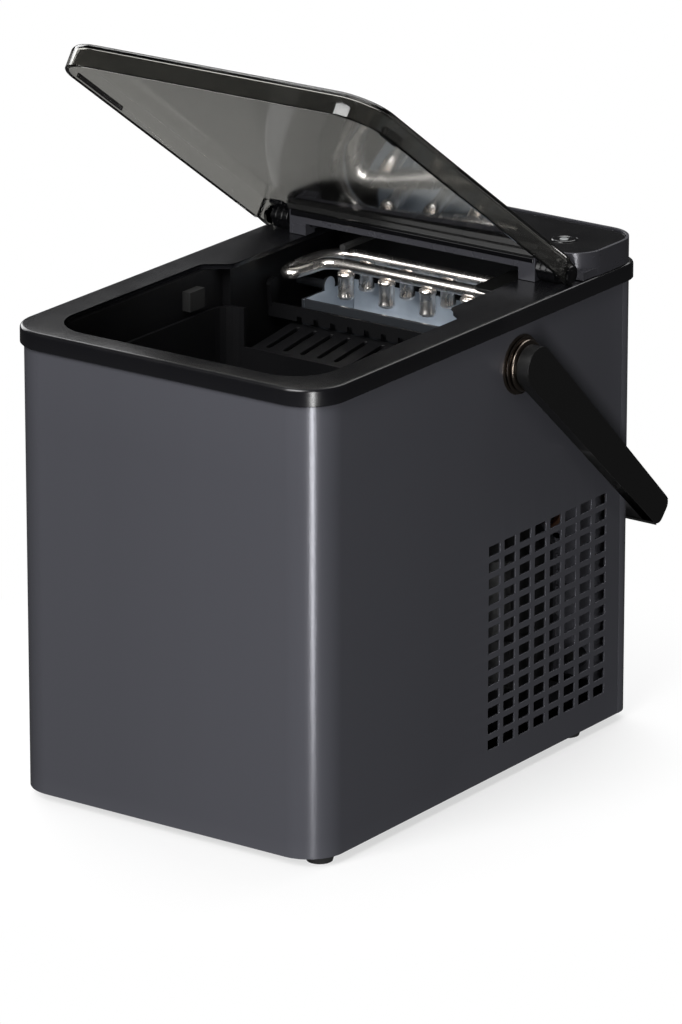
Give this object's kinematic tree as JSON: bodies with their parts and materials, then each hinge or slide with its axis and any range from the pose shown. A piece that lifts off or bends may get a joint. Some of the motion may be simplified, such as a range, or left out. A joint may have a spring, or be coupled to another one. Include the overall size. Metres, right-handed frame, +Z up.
{
  "type": "ice maker",
  "caption": "Countertop ice maker with a smoked hinged lid, lift-up carry handle, ice basket, and the freezing and cooling parts inside.",
  "frame": {"origin": "centre of the overall box at the height that the feet stand on, with the lid and handle as stored", "axes": "+Z up, front of the cabinet towards -Y, +X to the right as seen from the front"},
  "size_m": [0.2424, 0.3358, 0.4373],
  "materials": {
    "painted_steel": "satin graphite paint",
    "black_gloss": "gloss",
    "black_plastic": "matte",
    "basket_plastic": "matte",
    "tank_plastic": "satin",
    "smoked_plastic": "gloss, see-through smoke grey",
    "clear_plastic": "gloss, see-through",
    "button_plastic": "satin",
    "bronze": "satin",
    "chrome": "polished",
    "rubber": "matte",
    "foam": "matte",
    "copper": "satin",
    "aluminium": "satin",
    "motor_steel": "satin",
    "black_steel": "gloss",
    "circuit_board": "satin",
    "white_plastic": "satin",
    "silicone": "satin"
  },
  "bodies": {
    "cabinet": {"base_pan": "black_plastic", "board_tray": "black_plastic", "capillary_tube": "copper", "compressor": "black_steel", "condenser": "aluminium", "control_board": "circuit_board", "control_housing": "painted_steel", "control_panel": "black_gloss", "cord_inlet": "black_plastic", "discharge_pipe": "copper", "drain_hose": "silicone", "drain_spout": "black_plastic", "evaporator_bracket": "black_plastic", "evaporator_finger_1": "chrome", "evaporator_finger_2": "chrome", "evaporator_finger_3": "chrome", "evaporator_finger_4": "chrome", "evaporator_finger_5": "chrome", "evaporator_finger_6": "chrome", "evaporator_finger_7": "chrome", "evaporator_finger_8": "chrome", "evaporator_tube": "chrome", "fan_motor": "motor_steel", "fan_shroud": "black_plastic", "filter_drier": "copper", "foot_front_left": "rubber", "foot_front_right": "rubber", "foot_rear_left": "rubber", "foot_rear_right": "rubber", "front_bezel": "black_gloss", "handle_boss_left": "bronze", "handle_boss_right": "bronze", "ice_basket": "basket_plastic", "ice_guide": "basket_plastic", "ice_sensor_left": "black_plastic", "ice_sensor_right": "black_plastic", "indicator_window": "smoked_plastic", "inner_tank": "tank_plastic", "liquid_pipe": "copper", "outer_wrap": "painted_steel", "power_board": "circuit_board", "pump_hose": "silicone", "rear_deck": "black_gloss", "rear_panel": "painted_steel", "suction_pipe": "copper", "tank_insulation": "foam", "tray_motor": "motor_steel", "water_pump": "black_plastic"},
    "lid": {"lid": "smoked_plastic", "lid_knuckle_left": "black_plastic", "lid_knuckle_right": "black_plastic"},
    "handle": {"carry_handle": "black_plastic"},
    "tray": {"water_tray": "clear_plastic", "tray_gear": "white_plastic"},
    "shovel": {"ice_shovel": "basket_plastic", "shovel_gear": "white_plastic"},
    "fan": {"fan_blades": "black_plastic"},
    "power_key": {"power_button": "button_plastic"},
    "select_key": {"select_button": "button_plastic"},
    "plug": {"drain_plug": "rubber"}
  },
  "joints": [
    {"name": "lid_hinge", "type": "hinge", "parent": "cabinet", "child": "lid", "pos_m": [0, 0.0821, 0.288], "axis": [-1, 0, 0], "range_deg": [-35.3, 54.7]},
    {"name": "handle_pivot", "type": "hinge", "parent": "cabinet", "child": "handle", "pos_m": [0, 0.0306, 0.2477], "axis": [1, 0, 0], "range_deg": [0, 133]},
    {"name": "tray_tilt", "type": "hinge", "parent": "cabinet", "child": "tray", "pos_m": [0, 0.0821, 0.252], "axis": [1, 0, 0], "range_deg": [0, 40]},
    {"name": "shovel_sweep", "type": "hinge", "parent": "cabinet", "child": "shovel", "pos_m": [0, 0.0511, 0.257], "axis": [1, 0, 0], "range_deg": [-45, 0]},
    {"name": "fan_spin", "type": "hinge", "parent": "cabinet", "child": "fan", "pos_m": [-0.0715, 0.0786, 0.088], "axis": [1, 0, 0], "continuous": true},
    {"name": "power_press", "type": "slide", "parent": "cabinet", "child": "power_key", "axis": [0, 0, -1], "range_m": [0, 0.001], "stiffness_N_per_m": 600, "springref_m": -0.0005},
    {"name": "select_press", "type": "slide", "parent": "cabinet", "child": "select_key", "axis": [0, 0, -1], "range_m": [0, 0.001], "stiffness_N_per_m": 600, "springref_m": -0.0005},
    {"name": "plug_pull", "type": "slide", "parent": "cabinet", "child": "plug", "axis": [0, 1, 0], "range_m": [0, 0.015]}
  ],
  "couplings": [
    {"joint": "shovel_sweep", "follows": "tray_tilt", "ratio": -1.125}
  ]
}
